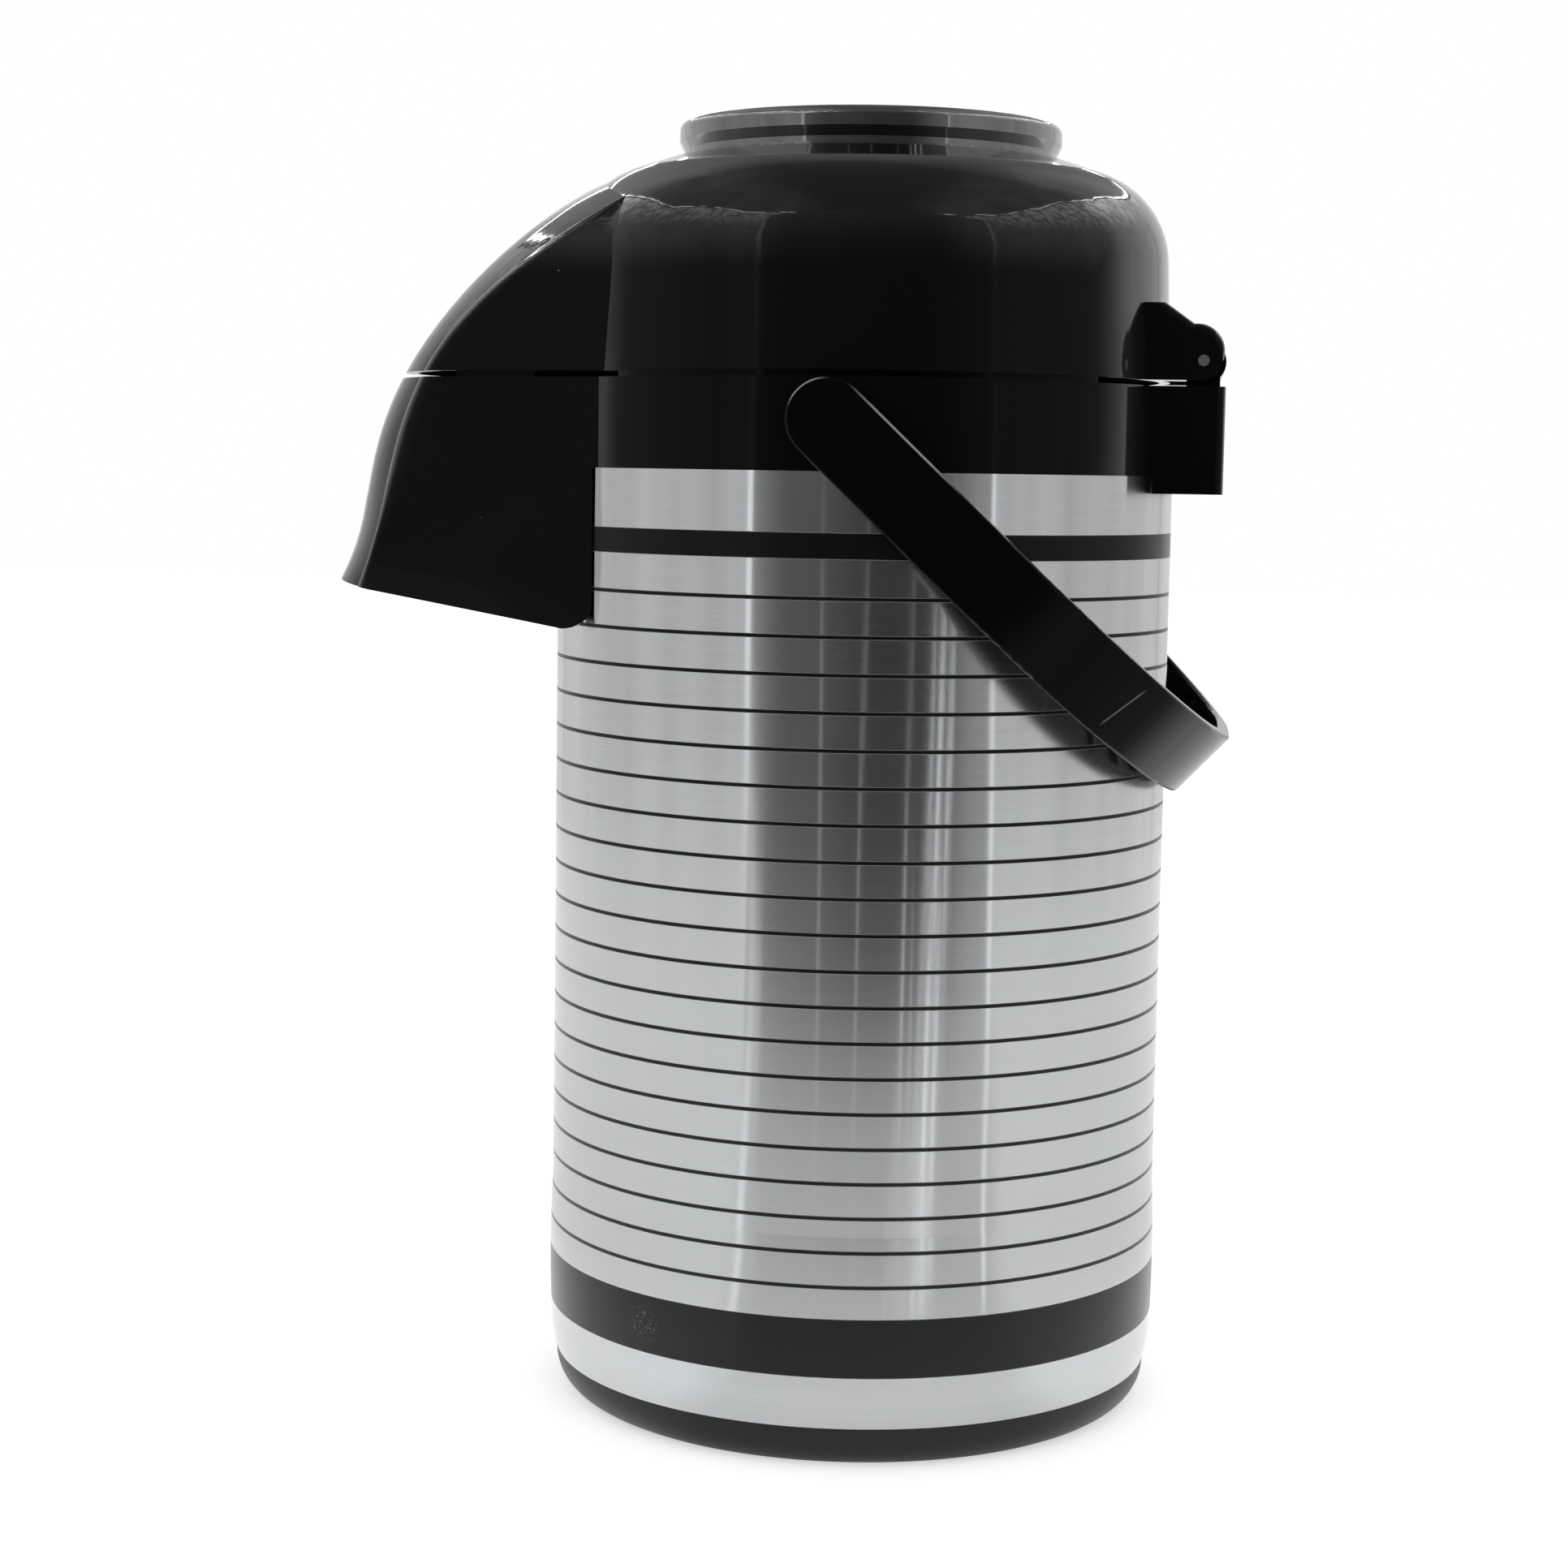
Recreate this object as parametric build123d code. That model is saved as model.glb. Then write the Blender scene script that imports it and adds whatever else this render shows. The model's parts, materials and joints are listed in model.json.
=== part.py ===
from build123d import *
from math import atan2, cos, pi, radians, sin, sqrt
import os

os.makedirs("parts", exist_ok=True)

# Vacuum pump flask. Millimetres, +Z up. The origin is the centre of the base, on the surface it stands on.
# The spout points along -X, the lid's hinge is at +X, and the bail's pivots are on the Y axis.

# Clearances
running = 0.05          # a pin in its bore
seat = 0.3              # between soft or curved faces that rest on each other
fit_gap = 0.2           # between hard parts that are pressed together
overlap_gap = 0.4       # between the casing and what hangs over it

# Overshoots of the shapes that cut or join
past = 1.0              # how far a cut runs past its part, or a boss into the wall it stands on
far = 20.0              # the same, where there is room

# Steel casing
body_radius = 85.0
foot_height = 11.0
casing_height = 247.0
casing_wall = 0.8
casing_swell = 0.6      # the casing bulges this much a little above its foot
swell_low = 11.0        # above the foot
swell_high = 51.0
curl_in = 1.4           # how far the foot of the casing curls inward
curl_start = 0.1        # and how much of that at half its height

# Black foot ring and its screwed plug
foot_inset = 8.0        # the standing edge lies this far inside the casing
foot_width = 6.0
foot_bulge = 1.6
floor_web_low = 4.5
floor_web_thick = 2.5
ring_skirt_wall = 2.5
ring_skirt_top = 26.0
plug_bore = 31.6
plug_collar_wall = 2.6
plug_collar_top = 15.0
plug_flange = 37.0
plug_bottom = 2.0
plug_top = 14.0
plug_wall = 4.0
plug_grip = 7.0
cushion_inner = 9.0
cushion_thick = 11.0
cushion_step = 0.4      # it stops this far inside the flat of the liner's bottom

# Double-walled glass liner
glass_wall = 1.8
bottle_flat = 0.3       # flat part of a bottle's bottom, as a share of its radius, like the next four
bottle_heel = 0.53      # height of its heel
heel_middle = (0.8, 0.16)
bottle_shoulder = 0.585  # height of its shoulder
shoulder_middle = (0.84, 0.4)
liner_clearance = 11.2  # to the casing
vacuum_gap = 4.2
neck_depth = 54.0       # from the lip down to where the shoulder starts
neck_bore = 27.0
neck_space = 6.0        # both walls and the gap at the neck
lip_height = 1.5
flask_floor_gap = 8.0   # between the bottoms of the two bottles
flask_shoulder_drop = 4.0
glass_seam = 0.05       # the inner bottle is drawn in three parts, this far apart
exhaust_tip = 6.0
exhaust_tip_root = 4.0  # radius where it leaves the glass
exhaust_tip_end = 1.5
neck_seal_reach = 3.0
neck_seal_gap = 0.5
spacer_radius = 6.0
spacer_z = 90.0
spacer_count = 3
spacer_turn = 60.0

# Collar
collar_step = 0.5       # the collar is this much slimmer than the casing
collar_height = 23.8
collar_wall = 2.5
collar_skirt_depth = 10.0
collar_lip_thick = 2.2
rim_height = 3.2        # low rim that centres the lid
rim_gap = 0.8
rim_wall = 2.0
rim_stop = 6.0          # the rim stops this far inside the hood's root
deck_rise = 3.0         # above the casing's top
deck_thick = 3.0
deck_bore_gap = 1.0

# Lid
parting_gap = 1.6
lid_step = 1.4          # the lid is this much slimmer than the casing
lid_wall = 2.4
lid_draft = 1.2         # the wall leans in by this much up to the shoulder
shoulder_rise = 32.6    # heights above the lid's lower edge
dome_edge_rise = 54.8
dome_top_rise = 59.5
shoulder_run = 16.6     # how far the rounded shoulder reaches inward
round_middle = (6.4, 47.0)  # halfway round it: in from the side, up from the lid's edge
round_draw = (0.8, 0.6)     # share of the wall by which the inside is drawn in there
edge_draw = (0.3, 0.94)     # and where the round ends
sleeve_wall = 2.0
guide_ring_height = 2.5
lid_base_rise = 3.6
lid_base_thick = 2.5
lid_base_gap = 0.8

# Hood over the spout, upper half on the lid and lower half on the collar
hood_half_width = 54.1  # where its side walls meet the body
hood_rear_run = 20.6
hood_root_depth = 6.0   # how far its side walls run on into the body
hood_wall = 2.2
hood_roof_drop = 1.6
hood_corner_cut = 5.0
hood_nose_cut = 0.75    # the cut is this much shorter on the nose side
hood_side_draw = 1.05   # the side walls need this much more than the inset
hood_nose_draw = 0.1
hood_fade = 8.0         # nearer than this to its root, the ridge fades into the dome
fade_run = 3.0
fade_step = 0.9
hood_lip_drop = 32.6    # from the casing's top to the front of the lip
hood_lip_slope = 0.149
hood_lip_inset = 6.0    # from the nose back to where the lip's height is measured
hood_lip_corner = 10.0
lip_middle = (2.6, 3.4) # halfway round that corner, in and up
lip_rear = 9.4          # the lip ends this far out from the hood's root
hood_rear_edge = 0.8
tongue_height = 4.0
tongue_depth = 6.0
tongue_wall = 1.4
tongue_reach = 22.0     # the tongues end this far out from the casing
tongue_root = 0.5

# Hinge at the back
hinge_reach = 7.6       # from the casing out to the pin
hinge_rise = 6.8        # from the collar's top up to the pin
hinge_half_width = 30.0
knuckle_radius = 6.0
knuckle_half_width = 17.6
knuckle_side_gap = 0.5
knuckle_web_half = 4.5
hinge_pin_radius = 1.5
ear_radius = 5.0
ear_rise = 20.3
ear_slope_back = 2.6
ear_slope_rise = 9.7
ear_edge_round = 2.5
ear_root = 6.0          # the ears start this far inside the lid's wall
hinge_block_reach = 13.6
hinge_block_drop = 4.6
hinge_block_wall = 2.5
hinge_block_round = 3.0

# Bail handle
bail_pivot_rise = 13.0  # above the casing's top
bail_rest_angle = 43.5  # below the horizontal, towards the back
bail_width = 20.8
bail_thick = 4.4
bail_side_gap = 1.7
bail_crown_half = 10.6  # half of the straight stretch across the back
bail_edge_round = 0.9
bail_long_edge = 30.0   # only edges longer than this are rounded
channel_depth = 2.2
channel_flange = 2.4
channel_start = 26.0
rib_pitch = 12.0
rib_thick = 1.6
rib_count = 9
pivot_radius = 5.0
pivot_depth = 3.0
pivot_head_radius = 6.5
pivot_head_thick = 2.0
pivot_boss_half = 10.0
pivot_boss_depth = 7.5

# Push button and bellows pump
button_radius = 52.5
button_slide_gap = 0.5
button_lift = 1.7       # from the lid's top edge to the button's underside
button_bevel = 2.6
button_side = 4.0
button_crown = 2.0
button_crown_sag = 0.2
button_edge = (2.6, 1.2)    # where the crown meets the rounded edge, in and up from its start
edge_middle = (0.7, 0.6)
button_edge_drop = 1.0
button_inner_round = 2.0
button_skirt_step = 1.3
button_skirt_depth = 24.6
button_wall = 2.2
button_stroke = 18.0
lug_height = 2.2
lug_half_angle = 8.0
lug_count = 3
plate_drop = 7.6
plate_thick = 3.0
plate_hole_radius = 1.5
plate_hole_circle = 5.5
plate_hole_count = 4
plate_inset = 5.0       # inside the bellows
bellows_radius = 41.0
bellows_fold_depth = 7.0
bellows_wall = 1.2
bellows_fold_wall = 1.56    # measured level, at the outer folds
bellows_folds = 5
bellows_flange = 1.5
spring_radius = 20.0
spring_wire = 1.8
spring_turns = 6
spring_gap = 0.1
flap_radius = 8.6
flap_thick = 1.2
flap_stem = 1.6
flap_knob = 2.4
plate_screw_circle = 27.0
plate_screw_count = 3
plate_screw_turn = 30.0
plate_screw_bite = 6.0
base_screw_inset = 15.6
base_screw_count = 4
base_screw_turn = 45.0
screw_shank = 1.5
screw_head = 3.2
screw_head_height = 2.0
screw_boss = 4.5
boss_margin = 1.5
screw_bite = 12.0

# Pump head in the neck, and the pouring tube
outlet_x = 12.0
outlet_bore = 5.0
outlet_radius = 9.0
outlet_seal_width = 4.0
outlet_lift = 2.0       # from the pump head up to the lid's air outlet
outlet_step = 1.0       # the pump head's air port is this much slimmer than the outlet
stopper_step = 3.0      # the stopper's head is this much wider than the neck's bore
stopper_plug_gap = 1.0
stopper_flange_thick = 2.5
stopper_plug_depth = 14.0
flat_seal_thick = 1.5
riser_x = -14.0
dip_tube_radius = 4.0
dip_tube_wall = 1.0
dip_tube_lift = 9.0     # above the bottom of the flask
dip_tube_grip = 12.0
pour_drop = 7.8         # from the pump head's top down to the pouring tube
pour_tube_radius = 5.5
pour_tube_wall = 1.5
pour_bend = 15.0
pour_reach = 24.0       # from the casing out to the falling tube
pour_tube_fall = 24.0   # from the casing's top down to the tube's end
port_depth = 8.0
tip_wall = 2.1
tip_drop = 7.0
tip_grip = 9.0

# Sizes that follow from those above
casing_inner = body_radius - casing_wall
casing_top = foot_height + casing_height
foot_radius = body_radius - foot_inset
plug_collar_outer = plug_bore + plug_collar_wall
liner_radius = casing_inner - liner_clearance
liner_bottom = plug_top + cushion_thick
liner_lip_z = casing_top
liner_shoulder_z = liner_lip_z - neck_depth
liner_neck_radius = neck_bore + neck_space
flask_radius = liner_radius - glass_wall - vacuum_gap
flask_bottom = liner_bottom + flask_floor_gap
flask_wall_low = flask_bottom + glass_wall + bottle_heel * flask_radius
flask_wall_high = liner_shoulder_z - flask_shoulder_drop
cushion_outer = bottle_flat * liner_radius - cushion_step
collar_wall_radius = body_radius - collar_step
collar_inner = collar_wall_radius - collar_wall
collar_top = casing_top + collar_height
deck_low = casing_top + deck_rise
deck_high = deck_low + deck_thick
deck_bore = neck_bore + deck_bore_gap
lid_radius = body_radius - lid_step
lid_inner = lid_radius - lid_wall
lid_low = collar_top + parting_gap
shoulder_z = lid_low + shoulder_rise
dome_edge_z = lid_low + dome_edge_rise
dome_top_z = lid_low + dome_top_rise
dome_edge_radius = lid_radius - shoulder_run
rim_outer = lid_inner - rim_gap
lid_base_low = lid_low + lid_base_rise
lid_base_high = lid_base_low + lid_base_thick
well_radius = button_radius + button_slide_gap
button_under_z = dome_top_z + button_lift
button_side_low = button_under_z + button_bevel
button_side_top = button_side_low + button_side
button_top = button_side_top + button_crown
button_skirt_radius = button_radius - button_skirt_step
button_skirt_low = button_under_z - button_skirt_depth
guide_ring_low = button_skirt_low + lug_height + seat
guide_ring_high = guide_ring_low + guide_ring_height
sleeve_bottom = button_skirt_low - button_stroke
plate_low = button_under_z - plate_drop
plate_high = plate_low + plate_thick
plate_radius = bellows_radius - plate_inset
bellows_valley = bellows_radius - bellows_fold_depth
base_screw_circle = lid_radius - base_screw_inset
stopper_low = deck_high + flat_seal_thick
stopper_top = collar_top
stopper_plug_low = liner_lip_z - stopper_plug_depth
stopper_radius = neck_bore + stopper_step
stopper_flange = liner_neck_radius
stopper_plug_radius = neck_bore - stopper_plug_gap
outlet_seal_radius = outlet_radius + outlet_seal_width
pour_z = stopper_top - pour_drop
pour_drop_x = -(body_radius + pour_reach)
pour_tube_low = casing_top - pour_tube_fall
dip_tube_low = flask_bottom + dip_tube_lift
hinge_x = body_radius + hinge_reach
hinge_z = collar_top + hinge_rise
ear_top_z = lid_low + ear_rise
ear_slope_x = hinge_x - ear_slope_back
ear_slope_z = hinge_z + ear_slope_rise
hinge_block_x = body_radius + hinge_block_reach
hinge_block_low = casing_top - hinge_block_drop
bail_pivot_z = casing_top + bail_pivot_rise
bail_inner_y = collar_wall_radius + bail_side_gap
bail_outer_y = bail_inner_y + bail_thick
bail_corner = bail_outer_y - bail_crown_half
bail_lean = radians(bail_rest_angle)
bail_reach = (body_radius + seat + bail_width / 2 * sin(bail_lean)) / cos(bail_lean)
hood_junction_x = -sqrt(body_radius**2 - hood_half_width**2)
hood_rear_x = hood_junction_x + hood_rear_run


def place(node, solid):
    """Write one sub-part under its node name."""
    export_step(solid, f"parts/{node}.step")
    return solid


def outline(start, *moves):
    """Closed face from start. A move is an end point, or a (through, end) pair for an arc."""
    edges, here = [], start
    for move in moves + (start,):
        if isinstance(move[0], tuple):
            edges.append(ThreePointArc(here, move[0], move[1]))
            here = move[1]
        elif move != here:
            edges.append(Line(here, move))
            here = move
    return make_face(edges)


def turned(face):
    """Turn an (r, z) outline about the upright axis."""
    return revolve(Plane.XZ * face, Axis.Z)


def tube(outer, inner, low, high, x=0.0, y=0.0):
    """Upright tube, or a solid bar when inner is 0."""
    face = Circle(outer) - Circle(inner) if inner else Circle(outer)
    return Pos(x, y, low) * extrude(face, high - low)


def block(x0, x1, y0, y1, z0, z1):
    """Box between two corners."""
    return Pos((x0 + x1) / 2, (y0 + y1) / 2, (z0 + z1) / 2) * Box(x1 - x0, y1 - y0, z1 - z0)


def bar_y(radius, y0, y1, x, z):
    """Round bar along Y."""
    return Pos(x, (y0 + y1) / 2, z) * Rot(90, 0, 0) * Cylinder(radius, y1 - y0)


def bar_x(radius, x0, x1, y, z):
    """Round bar along X."""
    return Pos((x0 + x1) / 2, y, z) * Rot(0, 90, 0) * Cylinder(radius, x1 - x0)


def around(count, radius, phase=0.0):
    """Evenly spaced points on a circle about the upright axis."""
    return [
        (radius * cos(radians(phase + 360 / count * i)), radius * sin(radians(phase + 360 / count * i)))
        for i in range(count)
    ]


# The hood's plan at each height above the collar's top: how far its nose stands out from the casing,
# how far its ridge lies behind the nose, and how much narrower than its root it is at the ridge
hood_levels = [
    (-75.8, 70.0, 13.5, 22.1),
    (-57.8, 64.5, 13.5, 20.5),
    (-28.8, 55.0, 13.0, 17.9),
    (2.2, 44.0, 13.5, 14.7),
    (17.2, 33.5, 15.0, 11.3),
    (29.7, 22.0, 19.0, 6.7),
    (40.7, 9.0, 24.0, 1.7),
    (52.2, -8.5, 26.5, 8.1),
    (56.2, -23.0, 24.0, 24.1),
]


def lip_z(x):
    """Height of the hood's slanted lower lip."""
    front = -body_radius - hood_levels[1][1] + hood_lip_inset
    return casing_top - hood_lip_drop - hood_lip_slope * (x - front)


def hood_form(inset=0.0, rear=hood_rear_x):
    """Solid beak that holds both hood halves. An inset draws its walls in."""
    sections = []
    for rise, nose_out, ridge_back, narrowing in hood_levels:
        nose = inset - body_radius - nose_out
        drawn = hood_half_width - hood_side_draw * inset
        kx, ky = nose + ridge_back + hood_nose_draw * inset, drawn - narrowing
        jx, jy = hood_junction_x + inset, drawn
        if kx > hood_junction_x - hood_fade:
            jx, jy = max(jx + past, kx + fade_run), ky + fade_step
        side = sqrt((kx - jx) ** 2 + (ky - jy) ** 2)
        deep = hood_root_depth / side
        rx, ry = jx + (jx - kx) * deep, jy + (jy - ky) * deep
        cut = min(hood_corner_cut, 0.5 * side)
        ax, ay = kx + (jx - kx) * cut / side, ky + (jy - ky) * cut / side
        front = sqrt((kx - nose) ** 2 + ky**2)
        bx, by = kx + (nose - kx) * cut / front * hood_nose_cut, ky - ky * cut / front
        mx, my = (ax + 2 * kx + bx) / 4, (ay + 2 * ky + by) / 4
        back = max(rear, rx + past)
        face = outline(
            (back, -ry), (rx, -ry), (ax, -ay), ((mx, -my), (bx, -by)),
            ((nose, 0.0), (bx, by)), ((mx, my), (ax, ay)), (rx, ry), (back, ry),
        )
        sections.append(Pos(0, 0, collar_top + rise) * face)
    return loft(sections)


def side_slab(face, y0, y1):
    """Extrude an (x, z) outline along Y, from y0 to y1."""
    return Pos(0, y1, 0) * extrude(Plane.XZ * face, y1 - y0)


# Casing and foot


def outer_casing():
    """Thin steel tube with a slight swell above its foot, open at both ends."""
    r, t = body_radius, casing_wall
    low, high = foot_height + swell_low, foot_height + swell_high
    swell_z = (low + high) / 2
    curl_z = foot_height + swell_low / 2
    wall = outline(
        (r, casing_top), (r, high),
        ((r + casing_swell, swell_z), (r + casing_swell / 2, low)),
        ((r - curl_start, curl_z), (r - curl_in, foot_height)),
        (r - curl_in - t, foot_height),
        ((r - curl_start - t, curl_z), (r + casing_swell / 2 - t, low)),
        ((r + casing_swell - t, swell_z), (r - t, high)),
        (r - t, casing_top),
    )
    return turned(wall)


def base_ring():
    """Foot ring with a floor web and the threaded collar for the plug."""
    edge = body_radius - curl_in - fit_gap
    skirt = body_radius - curl_in - casing_wall - seat
    web_high = floor_web_low + floor_web_thick
    section = outline(
        (foot_radius - foot_width, 0.0), (foot_radius, 0.0),
        ((edge - foot_bulge, foot_height / 2 - foot_bulge), (edge, foot_height)),
        (skirt, foot_height), (skirt, ring_skirt_top),
        (skirt - ring_skirt_wall, ring_skirt_top), (skirt - ring_skirt_wall, web_high),
        (plug_collar_outer, web_high), (plug_collar_outer, plug_collar_top),
        (plug_bore, plug_collar_top), (plug_bore, floor_web_low), (foot_radius - foot_width, floor_web_low),
    )
    return turned(section)


def base_plug():
    """Plug that screws in from below and lifts the liner against its seal."""
    plug = tube(plug_bore - seat, 0, plug_bottom, plug_top)
    plug += tube(plug_flange, 0, plug_bottom, floor_web_low)
    hollow = tube(plug_bore - plug_wall, 0, plug_bottom, plug_top - plug_wall)
    hollow -= block(-plug_bore, plug_bore, -plug_grip / 2, plug_grip / 2, plug_bottom, plug_top)
    return plug - hollow


def liner_cushion():
    """Soft ring between the plug and the bottom of the liner."""
    return tube(cushion_outer, cushion_inner, plug_top, liner_bottom)


# Glass liner


def bottle(radius, bottom, shoulder_z, neck_radius, neck_z, cut):
    """Round-bottomed bottle profile, filled, drawn in by cut."""
    r, b, n = radius - cut, bottom + cut, neck_radius - cut
    heel, top = b + bottle_heel * r, shoulder_z + bottle_shoulder * r
    heel_point = (heel_middle[0] * r, b + heel_middle[1] * r)
    shoulder_point = (shoulder_middle[0] * r, shoulder_z + shoulder_middle[1] * r)
    return outline(
        (0.0, b), (bottle_flat * r, b), (heel_point, (r, heel)), (r, shoulder_z),
        (shoulder_point, (n, top)), (n, neck_z), (0.0, neck_z),
    )


def liner_outer():
    """Outer bottle, with the sealed tip under its bottom."""
    neck_z = liner_lip_z - lip_height
    form = (liner_radius, liner_bottom, liner_shoulder_z, liner_neck_radius, neck_z)
    shell = turned(bottle(*form, 0.0)) - turned(bottle(*form, glass_wall))
    tip = Rot(180, 0, 0) * Cone(exhaust_tip_root, exhaust_tip_end, exhaust_tip + past)
    return shell + Pos(0, 0, liner_bottom - (exhaust_tip - past) / 2) * tip


def inner_bottle(low, high):
    """Stretch of the inner bottle, whose lip closes the vacuum space."""
    form = (flask_radius, flask_bottom, flask_wall_high, neck_bore + glass_wall, liner_lip_z)
    flask = turned(bottle(*form, 0.0)) + tube(liner_neck_radius, 0, liner_lip_z - lip_height, liner_lip_z)
    flask -= turned(bottle(*form, glass_wall))
    return flask & tube(liner_radius, 0, low, high)


def liner_spacers():
    """Small pads that keep the two bottles apart."""
    outer, half = liner_radius - glass_wall - seat, 1.5 * spacer_radius
    pads = []
    for i in range(spacer_count):
        pad = bar_x(spacer_radius, flask_radius - past, liner_radius, 0, spacer_z)
        pad &= tube(outer, flask_radius + seat, spacer_z - half, spacer_z + half)
        pads.append(Rot(0, 0, 360 / spacer_count * i + spacer_turn) * pad)
    return Compound(pads)


def neck_seal():
    """Rubber ring between the liner's lip and the collar's deck."""
    return tube(liner_neck_radius + neck_seal_reach, neck_bore + neck_seal_gap, liner_lip_z, deck_low)


# Collar


def collar_body():
    """Round part of the collar: wall, skirt, deck, top flange and centring rim."""
    r, inner = collar_wall_radius, collar_inner
    rim_inner = rim_outer - rim_wall
    skirt, skirt_low = casing_inner - fit_gap, casing_top - collar_skirt_depth
    section = outline(
        (r, casing_top), (r, collar_top), (rim_outer, collar_top), (rim_outer, collar_top + rim_height),
        (rim_inner, collar_top + rim_height), (rim_inner, collar_top - collar_lip_thick),
        (inner, collar_top - collar_lip_thick), (inner, deck_high), (deck_bore, deck_high),
        (deck_bore, deck_low), (inner - fit_gap, deck_low), (inner - fit_gap, skirt_low),
        (skirt, skirt_low), (skirt, casing_top),
    )
    return turned(section)


def hood_side(top):
    """Side view of the lower hood: slanted lip, rounded rear corner, rear edge."""
    front, rear = -body_radius - hood_levels[0][1] - far, hood_junction_x - lip_rear
    edge = hood_junction_x + hood_rear_edge
    low = lip_z(rear)
    middle = (edge - lip_middle[0], low + lip_middle[1])
    return outline(
        (front, lip_z(front)), (rear, low), (middle, (edge, low + hood_lip_corner)), (edge, casing_top),
        (hood_rear_x, casing_top), (hood_rear_x, top), (front, top),
    )


def lower_hood(outer, inner):
    """Lower half of the hood, open below and towards the casing."""
    shell = outer & side_slab(hood_side(collar_top), -body_radius, body_radius)
    shell -= tube(body_radius + overlap_gap, 0, 0, casing_top)
    shell -= tube(collar_inner, 0, casing_top, collar_top + far)
    return shell - inner


def hood_tongues():
    """Low tongues on the collar's hood that fit inside the lid's hood."""
    low, high = collar_top - tongue_depth, collar_top + tongue_height
    front, rear, y = -(body_radius + tongue_reach), -collar_wall_radius + tongue_root, hood_half_width
    drop = Location((0, 0, -hood_roof_drop))
    inner = hood_form(hood_wall + seat + tongue_wall, -far).moved(drop)
    below = hood_form(hood_wall - tongue_root, -far).moved(drop) & block(front, rear, -y, y, low, collar_top)
    above = hood_form(hood_wall + seat, -far).moved(drop) & block(front, rear, -y, y, collar_top, high)
    return (below - inner) + (above - inner)


def hinge_block():
    """Box at the back of the collar that hangs over the casing and carries the middle knuckle."""
    y, wall = hinge_half_width, hinge_block_wall
    inside = collar_inner - far
    body = block(inside, hinge_block_x, -y, y, hinge_block_low, collar_top)
    body = fillet(body.edges().filter_by(Axis.Z).group_by(Axis.X)[-1], hinge_block_round)
    body -= tube(body_radius + overlap_gap, 0, 0, casing_top)
    body -= tube(collar_inner, 0, casing_top, collar_top + far)
    hollow = block(inside, hinge_block_x - wall, -y + wall, y - wall, hinge_block_low, collar_top - wall)
    body -= hollow - tube(collar_wall_radius + overlap_gap, 0, 0, collar_top)
    k = knuckle_half_width
    half = knuckle_web_half
    web = block(hinge_x - half, hinge_x + half, -k, k, collar_top - wall, hinge_z)
    return body + web + bar_y(knuckle_radius, -k, k, hinge_x, hinge_z)


def hinge_bore():
    """Hole for the hinge pin, through the knuckle and both ears."""
    y = hinge_half_width + past
    return bar_y(hinge_pin_radius + running, -y, y, hinge_x, hinge_z)


def pivot_boss(side):
    """Flat-backed boss inside the collar wall for one bail pivot."""
    half = pivot_boss_half
    inner = collar_wall_radius - pivot_boss_depth
    boss = block(-half, half, inner, collar_wall_radius - past, deck_high - past, collar_top - past)
    boss &= tube(collar_wall_radius - past / 2, 0, casing_top, collar_top)
    return boss if side > 0 else mirror(boss, Plane.XZ)


def collar(outer, cavity):
    """Collar with the lower hood, the hinge block and the pivot bosses."""
    part = collar_body()
    top = collar_top + rim_height + past
    part -= block(-body_radius, hood_junction_x + rim_stop, -body_radius, body_radius, collar_top, top)
    part -= block(-hood_junction_x, body_radius, -body_radius, body_radius, collar_top, top)
    part += lower_hood(outer, cavity)
    part += hood_tongues()
    part += hinge_block()
    part += pivot_boss(1) + pivot_boss(-1)
    for side in (-1, 1):
        y0, y1 = sorted((side * (bail_inner_y - far), side * bail_inner_y))
        part -= bar_y(pivot_radius + running, y0, y1, 0, bail_pivot_z)
    part -= hinge_bore()
    return part - bar_x(pour_tube_radius + seat, -body_radius - past, -collar_inner + past, 0, pour_z)


# Bail


def bail_plan(inset, reach, start):
    """U-shaped plan of the bail in its own plane, drawn in by inset."""
    y = bail_outer_y - inset
    corner = bail_corner - inset
    far = reach - inset
    plan = Pos((start + far) / 2, 0) * Rectangle(far - start, 2 * y)
    return fillet(plan.vertices().group_by(Axis.X)[-1], corner)


def bail_handle():
    """Flat strap bent into a U, with a ribbed channel inside. It is drawn level, then hung at rest."""
    reach = bail_reach + bail_thick
    half = bail_width / 2
    strap = bail_plan(0, reach, -half - far) - bail_plan(bail_thick, reach, -half - far - past)
    strap = extrude(strap, half, both=True)
    side = Circle(half) + Pos(reach / 2, 0) * Rectangle(reach, bail_width)
    strap &= side_slab(side, -bail_outer_y - past, bail_outer_y + past)
    outer_edges = [
        edge for edge in strap.edges()
        if abs(abs(edge.center().Z) - half) < 0.01 and edge.length > bail_long_edge
    ]
    strap = fillet(outer_edges, bail_edge_round)
    pocket = bail_plan(bail_thick - channel_depth, reach, channel_start)
    pocket -= bail_plan(bail_thick + past, reach, channel_start - past)
    channel = extrude(pocket, half - channel_flange, both=True)
    for i in range(rib_count):
        y = (i - (rib_count - 1) / 2) * rib_pitch
        channel -= block(0, reach + far, y - rib_thick / 2, y + rib_thick / 2, -half, half)
    strap -= channel
    for side in (-1, 1):
        y0, y1 = sorted((side * (bail_inner_y - past), side * (bail_inner_y + pivot_depth)))
        strap -= bar_y(pivot_radius + running, y0, y1, 0, 0)
    return Pos(0, 0, bail_pivot_z) * Rot(0, bail_rest_angle, 0) * strap


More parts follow.
